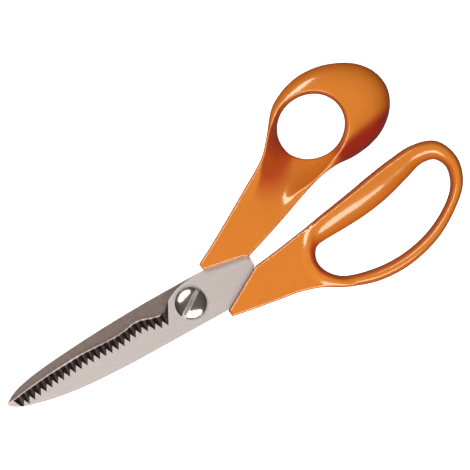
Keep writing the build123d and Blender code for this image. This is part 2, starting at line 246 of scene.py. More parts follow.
class Shader(NodeTree):
    """A material under construction, with its Principled BSDF."""

    def __init__(self, name):
        self.material = bpy.data.materials.new(name)
        self.material.use_nodes = True
        super().__init__(self.material.node_tree)
        self.surface = self.tree.nodes["Principled BSDF"]

    def place(self):
        """Position on the object, in metres, as a vector."""
        return self.node("ShaderNodeTexCoord", output="Object")

    def facing(self):
        """Outward direction on the object, as a vector."""
        return self.node("ShaderNodeTexCoord", output="Normal")

    def stretched(self, vector, scale):
        return self.node("ShaderNodeVectorMath", {"operation": "MULTIPLY"}, {0: vector, 1: scale})

    def noise(self, vector, scale, detail=2.0, roughness=0.5):
        return self.node(
            "ShaderNodeTexNoise",
            inputs={"Vector": vector, "Scale": scale, "Detail": detail, "Roughness": roughness},
        )

    def step(self, value, low, high):
        """0 below low, 1 above high, smooth between them."""
        return self.node(
            "ShaderNodeMapRange",
            {"interpolation_type": "SMOOTHSTEP"},
            {"Value": value, "From Min": low, "From Max": high},
        )

    def mix(self, share, first, second):
        """A colour between two colours."""
        return self.node(
            "ShaderNodeMix",
            {"data_type": "RGBA"},
            {"Factor": share, 6: rgba(first), 7: rgba(second)},
            output=2,
        )

    def shades(self, share, colour, first, second):
        """A colour between two shades of one colour."""
        return self.mix(share, scaled(colour, first), scaled(colour, second))

    def bump(self, height, strength, distance):
        return self.node(
            "ShaderNodeBump",
            inputs={"Height": height, "Strength": strength, "Distance": distance},
        )

    def set(self, **values):
        """Sets or links the sockets of the surface, such as base_color or roughness."""
        for name, value in values.items():
            label = name.replace("_", " ").title().replace("Ior", "IOR")
            self.feed(self.surface.inputs[label], value)
        return self.material


def rgba(colour):
    if isinstance(colour, Wire):
        return colour
    return (*colour[:3], 1.0)


def scaled(colour, factor):
    return tuple(min(1.0, channel * factor) for channel in colour)


def tinted(colour, shares):
    """A colour with a share of each of its channels."""
    return tuple(channel * share for channel, share in zip(colour, shares))


# ---------------------------------------------------------------------------
# Materials
# ---------------------------------------------------------------------------

# Painted shade: what is left of the plastic's red, green and blue on the slope of the scoop,
# where the surface turns away, and on the thick lower shoulder of the thumb bow.
SCOOP_SHADE = (0.86, 0.36, 0.8)
TURNED_SHADE = (0.76, 0.46, 0.8)
SHOULDER_SHADE = (0.54, 0.11, 0.6)

# Where these painted shades start or end, in millimetres: the far end of the scoop along X, and
# the shoulder's near end along X, its side and its upper limit, which rises along X.
SCOOP_END = (84.0, 92.0)
SHOULDER_START = (77.0, 83.0)
SHOULDER_SIDE = (14.0, 16.0)
SHOULDER_LIMIT = (11.5, 16.5)
SHOULDER_RISE = 0.15

# How far a ground face has to look up or down to count as the flat of the blade, and as
# its front or back.
FLAT_FACE = (0.93, 0.985)
WHOLE_SIDE = (0.5, 0.9)

# Dark and light shade of the satin faces, and strength and depth of the grinding lines.
SATIN_SHADES = (0.84, 1.13)
GRINDING = (0.22, 0.00006)

# The serrated cutting edge of the closed blade, in millimetres: distance from the pivot
# towards the tip and height above the X axis, which the reach and the rise scale.  The
# painted highlight on it fades in short of the edge, and out where the teeth end along X.
EDGE_REACH = 85.0
EDGE_RISE = 5.0
EDGE_LINE = [
    (0.0, 1.9),
    (13.8, 1.8),
    (17.0, 2.6),
    (21.5, 4.0),
    (24.5, 4.2),
    (28.0, 3.5),
    (34.0, 2.9),
    (48.5, 3.5),
    (64.6, 2.7),
    (77.4, 1.3),
    (85.0, 0.0),
]
EDGE_HIGHLIGHT_FADE = (-0.50, -0.30)
TEETH_END = (-14.0, -12.0)

# The screw's driver slot: its turn from +X in degrees, and, in millimetres, where its wall
# and the painted highlight on the lip beside it fade, and how far above the blade they are at full
# strength.
SLOT_TURN = 34.5
SLOT_WALL = (0.74, 0.78)
SLOT_LIP_HIGHLIGHT = (0.86, 0.96)
SLOT_FOOT = 0.1


def orange_plastic(settings):
    """Glossy moulded plastic: faint flow marks, a moulded skin, fine handling scratches, and
    painted shade on the scoop, the steep walls and the lower shoulder of the thumb bow.
    """
    shader = Shader("orange_plastic")
    place = shader.place()
    flow = shader.noise(shader.stretched(place, (60.0, 110.0, 60.0)), 1.0, 3.0)
    skin = shader.noise(place, 900.0, 2.0)
    ripple = shader.noise(place, 160.0, 1.0)
    scratches = shader.noise(shader.stretched(place, (300.0, 4200.0, 4200.0)), 1.0, 3.0)
    worn = shader.step(scratches, 0.62, 0.72)
    colour = tuple(settings.colour)
    even = shader.shades(flow, colour, 0.94, 1.05)

    # Painted shade: darker, redder colour where the surface faces +X short of the scoop's far end
    # and where it turns steeply away, and dark red on the sloping lower shoulder of the thumb bow.
    upward = shader.part(shader.facing(), "Z")
    along = shader.part(place, "X") / MM
    across = shader.part(place, "Y") / MM
    endward = shader.step(shader.part(shader.facing(), "X"), 0.10, 0.55)
    scoop_shade_mask = endward * (1.0 - shader.step(along, *SCOOP_END))
    scoop_shaded = shader.mix(scoop_shade_mask * 0.9, even, tinted(colour, SCOOP_SHADE))
    upright = 1.0 - shader.step(abs(upward), 0.20, 0.97)
    turned = shader.mix(upright * 0.8, scoop_shaded, tinted(colour, TURNED_SHADE))
    below = 1.0 - shader.step(across - along * SHOULDER_RISE, *SHOULDER_LIMIT)
    thumb_side = shader.step(across, *SHOULDER_SIDE) * shader.step(along, *SHOULDER_START)
    sloping = shader.step(upward, -0.2, 0.1) * (1.0 - shader.step(upward, 0.90, 0.995))
    base = shader.mix(below * thumb_side * sloping, turned, tinted(colour, SHOULDER_SHADE))

    # The two halves of the mould meet in a faint line round the middle of each handle.
    height = shader.part(place, "Z") / MM
    parting = 1.0 - shader.step(abs(height - MIDDLE), 0.06, 0.16)
    relief = skin * 0.10 + ripple * 0.9 + parting * 1.4 - worn * 0.15
    return shader.set(
        base_color=base,
        roughness=0.20 + worn * 0.10 + flow * 0.05,
        coat_weight=0.9,
        coat_roughness=0.06,
        normal=shader.bump(relief, 0.12, 0.00012),
    )


def ground_lines(shader, place):
    """Fine grinding lines that run along the blades, with a fine speckle, from 0 to 1."""
    fine = shader.noise(shader.stretched(place, (90.0, 9000.0, 9000.0)), 1.0, 4.0, 0.65)
    broad = shader.noise(shader.stretched(place, (25.0, 1500.0, 1500.0)), 1.0, 2.0)
    speckle = shader.step(shader.noise(place, 1500.0, 2.0), 0.30, 0.70)
    return fine * 0.45 + broad * 0.20 + speckle * 0.35


def cutting_edge_line(shader, place):
    """How far the closed serrated edge stands above the X axis, in mm, along the blade."""
    along = shader.part(place, "X") / (-EDGE_REACH * MM)
    stops = [(x / EDGE_REACH, y / EDGE_RISE) for x, y in EDGE_LINE]
    return shader.node("ShaderNodeFloatCurve", {"curve": stops}, {"Value": along}) * EDGE_RISE


def thumb_blade_steel(settings):
    """Satin front face, polished grooves with painted shade, and a painted highlight along the
    cutting edge.
    """
    shader = Shader("thumb_blade_steel")
    place = shader.place()
    upward = shader.part(shader.facing(), "Z")
    lines = ground_lines(shader, place)
    outer = tuple(settings.blade_colour)
    inner = tuple(settings.inner_colour)
    flat = shader.step(upward, *FLAT_FACE)
    behind = shader.step(0.0 - upward, *WHOLE_SIDE)
    satin = shader.shades(lines, outer, *SATIN_SHADES)
    # Painted shade: the grooves and other walls off the flat are darkened to near black, less on
    # walls that face the tip.
    towards_tip = shader.step(0.0 - shader.part(shader.facing(), "X"), -0.3, 0.3)
    polished = shader.shades(towards_tip * 0.75 + lines * 0.25, inner, 0.22, 0.62)
    hollow = shader.shades(lines, inner, 0.90, 1.12)
    # Painted highlight: a bright line along the serrated edge, fading in half a millimetre short of
    # it, where the teeth are.
    beyond = shader.part(place, "Y") / MM - cutting_edge_line(shader, place)
    toothed = 1.0 - shader.step(shader.part(place, "X") / MM, *TEETH_END)
    edge_highlight = shader.step(beyond, *EDGE_HIGHLIGHT_FADE) * (1.0 - behind) * toothed
    faces = shader.mix(flat, polished, satin)
    base = shader.mix(behind, shader.mix(edge_highlight, faces, scaled(outer, 1.35)), hollow)
    return shader.set(
        base_color=base,
        metallic=1.0,
        roughness=0.24 + flat * 0.24 + lines * 0.10 + edge_highlight * 0.40,
        normal=shader.bump(lines, *GRINDING),
    )


def finger_blade_steel(settings):
    """Finely ground inner face that looks darker, and a satin outer face with a bevel."""
    shader = Shader("finger_blade_steel")
    place = shader.place()
    upward = shader.part(shader.facing(), "Z")
    lines = ground_lines(shader, place)
    outer = tuple(settings.blade_colour)
    inner = tuple(settings.inner_colour)
    front = shader.step(upward, *WHOLE_SIDE)
    flat = shader.step(0.0 - upward, *FLAT_FACE)
    hollow = shader.shades(lines, inner, 0.88, 1.12)
    satin = shader.shades(lines, outer, *SATIN_SHADES)
    bevel = shader.shades(lines, outer, 0.78, 0.98)
    base = shader.mix(front, shader.mix(flat, bevel, satin), hollow)
    return shader.set(
        base_color=base,
        metallic=1.0,
        roughness=0.30 + flat * 0.18 + lines * 0.10,
        normal=shader.bump(lines, *GRINDING),
    )


def polished_steel(settings):
    """Turned and polished steel: faint rings round the pivot axis, light scuffs, and a painted
    highlight on the lips of the driver slot.
    """
    shader = Shader("polished_steel")
    place = shader.place()
    level = shader.stretched(place, (1.0, 1.0, 0.0))
    radius = shader.node("ShaderNodeVectorMath", {"operation": "LENGTH"}, {0: level}, "Value")
    rings = shader.noise(shader.node("ShaderNodeCombineXYZ", inputs={0: radius * 2600.0}), 1.0, 2.0)
    rubbed = shader.noise(shader.stretched(place, (900.0, 260.0, 900.0)), 1.0, 4.0, 0.7)
    scuffs = shader.step(rubbed, 0.55, 0.75)
    colour = tuple(settings.screw_colour)
    polished = shader.shades(rings * 0.6 + scuffs * 0.4, colour, 1.06, 0.84)

    # The driver slot keeps a matt milled floor between two lips with a painted highlight.
    turn = math.radians(SLOT_TURN)
    north = shader.part(place, "Y") * math.cos(turn)
    beside = abs(north - shader.part(place, "X") * math.sin(turn))
    front = THUMB_BLADE_FRONT * MM
    above = shader.step(shader.part(place, "Z"), front, (THUMB_BLADE_FRONT + SLOT_FOOT) * MM)
    outside = shader.step(beside, *(edge * MM for edge in SLOT_WALL))
    slot = (1.0 - outside) * above
    lip_highlight = outside * (1.0 - shader.step(beside, *(edge * MM for edge in SLOT_LIP_HIGHLIGHT))) * above
    base = shader.mix(lip_highlight, shader.mix(slot, polished, scaled(colour, 0.95)), scaled(colour, 1.5))
    return shader.set(
        base_color=base,
        metallic=1.0,
        roughness=0.12 + rings * 0.08 + scuffs * 0.08 + slot * 0.32 + lip_highlight * 0.25,
        normal=shader.bump(rings, 0.10, 0.00003),
    )


def washer_steel(settings):
    """Plain stamped steel with a dull rubbed face."""
    shader = Shader("washer_steel")
    place = shader.place()
    grain = shader.noise(place, 2200.0, 4.0, 0.6)
    colour = tuple(settings.blade_colour)
    base = shader.shades(grain, colour, 0.66, 0.86)
    return shader.set(
        base_color=base,
        metallic=1.0,
        roughness=0.36 + grain * 0.14,
        normal=shader.bump(grain, 0.15, 0.00003),
    )


# ---------------------------------------------------------------------------
# Solid shapes as distance fields: negative inside, in millimetres
# ---------------------------------------------------------------------------


def smooth_min(a, b, width):
    overlap = np.maximum(width - np.abs(a - b), 0.0) / width
    return np.minimum(a, b) - overlap * overlap * width / 4


def smooth_max(a, b, width):
    return -smooth_min(-a, -b, width)


def rounded_max(a, b, radius):
    """The overlap of two shapes, with the edge between them rounded to a radius."""
    corner = np.hypot(np.maximum(a + radius, 0.0), np.maximum(b + radius, 0.0))
    return corner - radius + np.minimum(np.maximum(a, b) + radius, 0.0)


def rolled_max(a, b, width, depth):
    """The overlap of two shapes, with an elliptical rounding between them."""
    across, down = a / width + 1, b / depth + 1
    corner = np.hypot(np.maximum(across, 0.0), np.maximum(down, 0.0))
    return (corner - 1 + np.minimum(np.maximum(across, down), 0.0)) * np.minimum(width, depth)


def curve_through(points, steps=8):
    """A smooth open curve through points, as a Catmull-Rom spline."""
    knots = np.array(points, float)
    ends = [2 * knots[0] - knots[1], *knots, 2 * knots[-1] - knots[-2]]
    curve = []
    for before, start, end, after in zip(ends, ends[1:], ends[2:], ends[3:]):
        for t in np.arange(steps) / steps:
            curve.append(
                0.5
                * (
                    2 * start
                    + (end - before) * t
                    + (2 * before - 5 * start + 4 * end - after) * t**2
                    + (3 * start - before - 3 * end + after) * t**3
                )
            )
    curve.append(knots[-1])
    return np.array(curve)


def periodic(values, turns, column):
    """Smooth value of a column of evenly spaced rows at a number of turns, wrapping round."""
    rows = np.array([row[column] for row in values], float)
    count = len(rows)
    place = np.mod(turns, 1.0) * count
    index = np.floor(place).astype(int)
    t = place - index
    before, start, end, after = (rows[(index + shift) % count] for shift in (-1, 0, 1, 2))
    return 0.5 * (
        2 * start
        + (end - before) * t
        + (2 * before - 5 * start + 4 * end - after) * t**2
        + (3 * start - before - 3 * end + after) * t**3
    )


def outline_distance(outline, x, y):
    """Distance to a closed outline in the XY plane, negative inside it."""
    starts = np.asarray(outline)
    ends = np.roll(starts, -1, axis=0)
    nearest = np.full(np.broadcast(x, y).shape, np.inf)
    inside = np.zeros(nearest.shape, bool)
    for (ax, ay), (bx, by) in zip(starts, ends):
        run, rise = bx - ax, by - ay
        length = run * run + rise * rise
        if length < 1e-12:
            continue
        share = np.clip(((x - ax) * run + (y - ay) * rise) / length, 0.0, 1.0)
        gap = (x - ax - share * run) ** 2 + (y - ay - share * rise) ** 2
        nearest = np.minimum(nearest, gap)
        crosses = (ay > y) != (by > y)
        if rise != 0:
            inside ^= crosses & (x < ax + (y - ay) * run / rise)
    return np.where(inside, -1.0, 1.0) * np.sqrt(nearest)


# ---------------------------------------------------------------------------
# Handle shapes
# ---------------------------------------------------------------------------

# Half the depth of the finger handle's shank, how far the two steps of a shank run into
# each other, and the largest rounding along the back.
SHANK_HALF_DEPTH = 4.7
STEP_OVERLAP = 0.2
BACK_ROUND = 2.2

# The outline of the thumb handle: the upper edge of the shank, the far side of the bow, the
# lower edge, and the end walls in front of and behind the thumb blade.
THUMB_UPPER = [
    (10.5, 12.1),
    (19.9, 17.2),
    (29.8, 23.0),
    (41.7, 30.1),
    (49.8, 34.9),
    (54.7, 38.7),
    (60.1, 44.9),
]
THUMB_RING = [
    (65.9, 52.3),
    (71.1, 55.9),
    (77.4, 58.4),
    (84.5, 59.4),
    (93.8, 58.2),
    (103.6, 53.8),
    (109.8, 47.2),
    (112.0, 38.6),
    (109.4, 30.3),
    (102.9, 23.9),
    (95.2, 20.8),
    (87.0, 19.9),
]
THUMB_LOWER = [(78.5, 20.3), (69.8, 19.0), (60.1, 15.9), (50.2, 12.2), (40.2, 8.7), (28.7, 4.9)]
THUMB_FRONT_WALL = [(27.8, 6.1), (10.9, 9.2)]
THUMB_BACK_WALL = [(28.4, 4.9), (28.4, 0.45), (12.4, 9.3)]

# The thumb hole: its middle, and its half size along X and along Y.
THUMB_HOLE_CENTRE = (77.2, 39.0)
THUMB_HOLE = (13.9, 12.85)

# The top of the thumb bow, every 30 degrees round the hole from +X: level of the outer
# surface at the hole and further out, width and depth of its roll-off at the outer edge,
# how far out the rim of the scoop lies, the level of the scoop at the hole, how much the
# scoop bulges (+) or hollows (-), and how far the outer surface drops beside the rim.
THUMB_TOP = [
    (7.0, 7.0, 15.0, 8.5, 0.9, 5.4, 0.0, 0.0),
    (7.0, 7.0, 12.0, 7.5, 0.8, 5.4, 0.0, 0.0),
    (6.8, 6.8, 8.0, 6.0, 0.8, 5.2, 0.0, 0.0),
    (6.6, 6.6, 7.6, 5.6, 1.0, 4.6, 0.0, 0.0),
    (6.4, 6.4, 4.8, 4.2, 1.5, 3.0, 0.0, 0.0),
    (6.4, 6.4, 1.7, 2.2, 2.3, -0.5, 0.2, 0.0),
    (6.6, 6.2, 1.3, 1.6, 7.6, -4.3, 0.3, 0.0),
    (5.0, 4.7, 1.1, 1.1, 19.5, -5.3, 0.0, 0.0),
    (5.2, 4.7, 1.1, 1.1, 10.2, -1.2, -0.5, 0.0),
    (6.2, 5.4, 1.8, 2.6, 3.8, 2.6, -0.3, 0.5),
    (6.7, 6.7, 6.5, 11.5, 2.0, 4.4, 0.0, 3.0),
    (6.9, 6.9, 11.0, 14.0, 1.4, 5.0, 0.0, 1.5),
]

# The back of the thumb bow, the same way: level of the underside at the hole and further
# out, how far out the rim of its hollow lies, and the level of the hollow at the hole.
THUMB_BACK = [
    (-8.2, -8.0, 10.0, 0.0),
    (-8.2, -7.8, 9.0, 0.0),
    (-8.2, -7.6, 7.0, -1.5),
    (-8.0, -7.4, 4.5, -3.5),
    (-7.8, -7.2, 2.4, -5.5),
    (-7.8, -6.4, 1.6, -6.2),
    (-8.0, -4.7, 1.4, -6.6),
    (-8.0, -4.7, 1.4, -6.6),
    (-8.0, -4.7, 1.4, -6.6),
    (-8.0, -5.6, 1.6, -6.0),
    (-8.2, -7.6, 4.0, -4.5),
    (-8.2, -8.0, 8.0, -2.0),
]

# How far out from the thumb hole the outer surface takes to settle, the drop beside the
# rim to end, and the underside to settle.
OUTER_SPREAD = (8.0, 28.0)
DROP_SPREAD = (1.0, 11.0)
UNDER_SPREAD = (4.0, 24.0)

# Width of the blend over the rim of the scoop, and how much wider it is where the rim lies
# far out, within a span about that place.
SCOOP_BLEND = 0.9
WIDE_BLEND = 4.0
WIDE_RIM = 19.0
WIDE_SPAN = (0.5, 5.0)

# Width of the blend over the rim of the hollow behind, and the rounding of the hole.
HOLLOW_BLEND = 2.0
HOLE_ROUND = 0.9

# The outline of the finger handle's shank: its lower and upper edge, its end at the finger
# opening, and the end walls in front of and behind the finger blade.
FINGER_LOWER = [
    (12.0, -12.9),
    (20.0, -14.3),
    (30.0, -15.9),
    (41.1, -17.6),
    (50.1, -20.5),
    (57.5, -24.4),
]
FINGER_UPPER = [(58.0, 4.6), (50.0, 3.3), (40.0, 1.7), (30.0, 0.4)]
FINGER_ROOT = [(61.0, -25.2), (57.5, -22.0), (51.5, -14.5), (50.5, -9.0), (52.0, -3.5), (55.5, 0.5)]
FINGER_FRONT_WALL = [(12.3, -9.95)]
FINGER_BACK_WALL = [(29.8, -4.6), (28.6, -5.6), (11.5, -9.8)]

# The finger bow, as cross-sections: inner point, outer point, half depth, and where the
# crest of the section lies, from -1 at the inner point to 1 at the outer point.
FINGER_BOW = [
    ((52.8, -10.0), (48.3, -10.0), 4.9, 0.0),
    ((54.9, -5.4), (51.4, -1.2), 5.1, 0.2),
    ((60.0, -4.0), (58.0, 4.6), 5.4, 0.5),
    ((70.0, -3.7), (69.0, 6.7), 6.2, 0.65),
    ((80.0, -3.0), (78.5, 8.4), 6.5, 0.65),
    ((90.0, -1.3), (87.5, 10.2), 6.5, 0.6),
    ((100.2, 1.6), (97.5, 11.8), 6.3, 0.5),
    ((108.5, 4.1), (108.5, 12.7), 6.1, 0.35),
    ((114.3, 3.1), (118.5, 9.4), 6.0, 0.2),
    ((117.1, -1.5), (122.8, -0.8), 5.9, 0.0),
    ((115.4, -8.6), (120.0, -10.6), 5.8, 0.0),
    ((110.0, -14.5), (112.7, -18.0), 5.6, 0.0),
    ((99.9, -20.4), (102.2, -24.7), 5.5, 0.0),
    ((90.0, -23.4), (91.1, -28.5), 5.5, 0.0),
    ((80.0, -24.4), (80.0, -29.9), 5.5, 0.0),
    ((70.0, -23.5), (68.4, -28.6), 5.5, 0.0),
    ((59.9, -20.6), (57.5, -24.4), 5.4, 0.0),
    ((54.5, -15.9), (50.5, -18.5), 5.1, 0.0),
]

# The power of the bow's oval sections, and how much lower it is on the inner side of a
# crest that lies far out.
BOW_POWER = 2.3
BOW_POWER_DROP = 1.1

# Widths of the blends between shank and bow, round the finger opening and along the
# silhouette, and how far the bow may stand past the silhouette.
BOW_BLEND = 2.4
OPENING_BLEND = 2.0
SILHOUETTE_BLEND = 0.6
SILHOUETTE_SLACK = 0.1


def fade(value, low, high):
    """1 below low, 0 above high, smooth between them."""
    share = np.clip((value - low) / (high - low), 0.0, 1.0)
    return 1 - share * share * (3 - 2 * share)


def two_step_shape(front_outline, back_outline, top, back, split, roll, x, y, z):
    """A moulding with one outline above a level and another below it.

    The roll is the width and the depth of its rounding along the front.
    """
    width, depth = roll
    round_back = np.minimum(depth, BACK_ROUND)
    steps = []
    for outline, cut in ((front_outline, split - z), (back_outline, z - split - STEP_OVERLAP)):
        edge = outline_distance(outline, x, y)
        face = rolled_max(edge, z - top, width, depth)
        steps.append(np.maximum(np.maximum(face, rounded_max(edge, back - z, round_back)), cut))
    return np.minimum(*steps)


def thumb_hole_radius(angle):
    along, across = THUMB_HOLE
    return along * across / np.hypot(across * np.cos(angle), along * np.sin(angle))


def thumb_outlines():
    rim = curve_through(THUMB_UPPER + THUMB_RING + THUMB_LOWER)
    front = np.vstack([rim, THUMB_FRONT_WALL])
    back = np.vstack([rim[:-1], THUMB_BACK_WALL])
    return front, back


def thumb_field():
    """The thumb handle: a shank that opens through a scoop into an oblique oval hole."""
    front_outline, back_outline = thumb_outlines()

    def field(x, y, z):
        east, north = x - THUMB_HOLE_CENTRE[0], y - THUMB_HOLE_CENTRE[1]
        angle = np.arctan2(north, east)
        turns = angle / math.tau
        out = np.hypot(east, north) - thumb_hole_radius(angle)
        level, far, width, depth, rim, floor, bulge, drop = (
            periodic(THUMB_TOP, turns, column) for column in range(8)
        )
        outer = MIDDLE + far + (level - far) * fade(out, *OUTER_SPREAD)
        outer = outer - np.maximum(drop, 0.0) * (1 - fade(out, *DROP_SPREAD))
        share = out / rim
        rise = share + bulge * share * (1 - np.minimum(share, 1.0))
        scoop = MIDDLE + floor + (level - floor) * rise
        blend = SCOOP_BLEND + WIDE_BLEND * fade(abs(rim - WIDE_RIM), *WIDE_SPAN)
        top = smooth_min(outer, scoop, blend)
        under, far_under, back_rim, back_level = (
            periodic(THUMB_BACK, turns, column) for column in range(4)
        )
        flat = MIDDLE + far_under + (under - far_under) * fade(out, *UNDER_SPREAD)
        hollow = MIDDLE + back_level + (under - back_level) * out / back_rim
        back = smooth_max(flat, hollow, HOLLOW_BLEND)
        solid = two_step_shape(
            front_outline, back_outline, top, back, THUMB_BLADE_BACK, (width, depth), x, y, z
        )
        return rounded_max(solid, -out, HOLE_ROUND)

    return field


def finger_outlines():
    lower = curve_through(FINGER_LOWER)
    upper = curve_through(FINGER_UPPER)
    front = np.vstack([lower, FINGER_ROOT, upper, FINGER_FRONT_WALL])
    back = np.vstack([lower, FINGER_ROOT, upper, FINGER_BACK_WALL])
    return front, back


def finger_bow_line(steps=8):
    """The middle line of the finger bow, closed, with its section at every point."""
    inner, outer = (np.array([row[side] for row in FINGER_BOW], float) for side in (0, 1))
    half_width = np.hypot(*(outer - inner).T) / 2
    depth_and_crest = [row[2:] for row in FINGER_BOW]
    rows = np.column_stack([(inner + outer) / 2, half_width, depth_and_crest])
    turns = np.arange(len(rows) * steps) / (len(rows) * steps)
    return np.column_stack([periodic(rows, turns, column) for column in range(rows.shape[1])])


def finger_silhouette():
    """The whole outer edge of the finger handle, shank and bow."""
    bow = [row[1] for row in FINGER_BOW[3:16]]
    rim = curve_through(FINGER_UPPER[::-1] + bow + FINGER_LOWER[::-1])
    return np.vstack([rim, FINGER_BACK_WALL[-1:], FINGER_FRONT_WALL])


def finger_field(settings):
    """The finger handle: a shank and a long bow of changing section."""
    front_outline, back_outline = finger_outlines()
    line = finger_bow_line()
    silhouette = finger_silhouette()
    opening = curve_through([row[0] for row in FINGER_BOW] + [FINGER_BOW[0][0]])
    top, back = MIDDLE + SHANK_HALF_DEPTH, MIDDLE - SHANK_HALF_DEPTH
    roll = (settings.edge_radius, settings.edge_radius)

    def field(x, y, z):
        shank = two_step_shape(
            front_outline, back_outline, top, back, FINGER_BLADE_FRONT, roll, x, y, z
        )
        opened = smooth_max(shank, -outline_distance(opening, x, y), OPENING_BLEND)
        shape = np.broadcast(x, y).shape
        nearest = np.full(shape, np.inf)
        across = np.zeros(shape)
        section = [np.ones(shape)] * 3
        for start, end in zip(line, np.roll(line, -1, axis=0)):
            run, rise = end[0] - start[0], end[1] - start[1]
            length = run * run + rise * rise
            share = np.clip(((x - start[0]) * run + (y - start[1]) * rise) / length, 0.0, 1.0)
            east = x - start[0] - share * run
            north = y - start[1] - share * rise
            gap = east**2 + north**2
            closer = gap < nearest
            nearest = np.where(closer, gap, nearest)
            # The line runs clockwise, so its left side is the outer side.
            side = np.sign(run * north - rise * east)
            across = np.where(closer, side * np.sqrt(gap), across)
            section = [
                np.where(closer, first + share * (last - first), known)
                for known, first, last in zip(section, start[2:], end[2:])
            ]
        half_width, half_depth, crest = section
        place = across / half_width - crest
        place = np.where(place < 0, place / (1 + crest), place / (1 - crest))
        power = BOW_POWER - BOW_POWER_DROP * np.clip(crest, 0.0, 1.0) * (place < 0)
        height = np.abs(z - MIDDLE) / half_depth
        oval = (np.abs(place) ** power + height**power) ** (1 / power) - 1.0
        bow = oval * np.minimum(half_width, half_depth)
        joined = smooth_min(opened, bow, BOW_BLEND)
        limit = outline_distance(silhouette, x, y) - SILHOUETTE_SLACK
        return smooth_max(joined, limit, SILHOUETTE_BLEND)

    return field


# ---------------------------------------------------------------------------
# From a distance field to a mesh
# ---------------------------------------------------------------------------

CORNERS = [(i, j, k) for i in (0, 1) for j in (0, 1) for k in (0, 1)]
CELL_EDGES = [
    (a, b) for a in CORNERS for b in CORNERS if a < b and sum(np.abs(np.subtract(a, b))) == 1
]

# How often the points of a mesh are moved onto the surface, how much of a grid step each
# move may cover at most, and the least squared slope that it is worked out with.
SETTLING_MOVES = 3
LONGEST_MOVE = 0.5
LEAST_SLOPE = 0.25


def shifted(values, corner):
    """The grid values at one corner of every cell."""
    return values[tuple(slice(s, n - 1 + s) for s, n in zip(corner, values.shape))]


def slope_of(field, points, reach=0.02):
    """Gradient of the field at points."""
    columns = []
    for axis in range(3):
        ahead, behind = points.copy(), points.copy()
        ahead[:, axis] += reach
        behind[:, axis] -= reach
        columns.append((field(*ahead.T) - field(*behind.T)) / (2 * reach))
    return np.column_stack(columns)


def surface_of(field, low, high, step):
    """Points, quads and normals of the surface where a field is zero."""
    axes = [np.arange(a, b + step, step) for a, b in zip(low, high)]
    x, y, z = np.meshgrid(*axes, indexing="ij", sparse=True)
    values = field(x, y, z) + 0.0 * (x + y + z)
    inside = values < 0

    # One point in every cell that the surface passes through, amid its crossings.
    cells = tuple(n - 1 for n in values.shape)
    total = np.zeros((*cells, 3))
    count = np.zeros(cells)
    for a, b in CELL_EDGES:
        start, end = shifted(values, a), shifted(values, b)
        crosses = (start < 0) != (end < 0)
        share = np.where(crosses, start / np.where(crosses, start - end, 1.0), 0.0)
        for axis in range(3):
            total[..., axis] += crosses * (a[axis] + share * (b[axis] - a[axis]))
        count += crosses
    active = count > 0
    number = np.full(cells, -1)
    number[active] = np.arange(active.sum())
    offsets = total[active] / count[active][:, None]
    points = np.array(low) + step * (np.argwhere(active) + offsets)

    # One quad round every grid edge that the surface crosses.
    quads = []
    for axis in range(3):
        u, v = (axis + 1) % 3, (axis + 2) % 3
        ahead = np.roll(inside, -1, axis=axis)
        crosses = inside != ahead
        keep = [slice(1, n - 1) for n in values.shape]
        where = np.argwhere(crosses[tuple(keep)]) + 1
        back_u, back_v = np.zeros(3, int), np.zeros(3, int)
        back_u[u], back_v[v] = 1, 1
        ring = [where, where - back_u, where - back_u - back_v, where - back_v]
        quad = np.column_stack([number[tuple(corner.T)] for corner in ring])
        leaving = inside[tuple(where.T)]
        quads.append(np.where(leaving[:, None], quad, quad[:, ::-1]))
    quads = np.vstack(quads)

    limit = LONGEST_MOVE * step
    for _ in range(SETTLING_MOVES):
        slope = slope_of(field, points)
        size = np.maximum((slope**2).sum(axis=1), LEAST_SLOPE)
        move = -(field(*points.T) / size)[:, None] * slope
        points += np.clip(move, -limit, limit)
    slope = slope_of(field, points)
    normals = slope / np.maximum(np.linalg.norm(slope, axis=1), 1e-9)[:, None]
    return points, quads, normals


def mesh_piece(name, points, quads, normals):
    """A smooth-shaded object from points in millimetres."""
    mesh = bpy.data.meshes.new(name)
    mesh.from_pydata((points * MM).tolist(), [], quads.tolist())
    mesh.validate()
    mesh.shade_smooth()
    mesh.normals_split_custom_set_from_vertices(normals.tolist())
    piece = bpy.data.objects.new(name, mesh)
    bpy.context.scene.collection.objects.link(piece)
    return piece


def make_handle(name, node, body, field, settings, material):
    """Makes the surface of a field, which stands for a CAD node and rides on its body."""
    low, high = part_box(node)
    margin = 2 * settings.mesh_step
    low = [value / MM - margin for value in low]
    high = [value / MM + margin for value in high]
    piece = mesh_piece(name, *surface_of(field, low, high, settings.mesh_step))
    piece.data.materials.append(material)
    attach(piece, body)
    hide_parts(node)


def finish_node(node, material):
    """Gives a CAD node its material."""
    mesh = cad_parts[node].data
    mesh.materials.clear()
    mesh.materials.append(material)


# ---------------------------------------------------------------------------
# Operators
# ---------------------------------------------------------------------------


class SHEARS_OT_handles(bpy.types.Operator):
    """Mould the two plastic handles round the blades' tangs"""

    bl_idname = "shears.handles"
    bl_label = "Handles"

    def execute(self, context):
        settings = context.scene.shears_handles
        plastic = orange_plastic(settings)
        make_handle(
            "thumb_handle_moulding",
            "thumb_handle",
            "thumb_half",
            thumb_field(),
            settings,
            plastic,
        )
        make_handle(
            "finger_handle_moulding",
            "finger_handle",
            "finger_half",
            finger_field(settings),
            settings,
            plastic,
        )
        return {"FINISHED"}


class SHEARS_OT_blades(bpy.types.Operator):
    """Finish the serrated blade and the plain blade"""

    bl_idname = "shears.blades"
    bl_label = "Blades"

    def execute(self, context):
        settings = context.scene.shears_steel
        finish_node("thumb_blade", thumb_blade_steel(settings))
        finish_node("finger_blade", finger_blade_steel(settings))
        return {"FINISHED"}


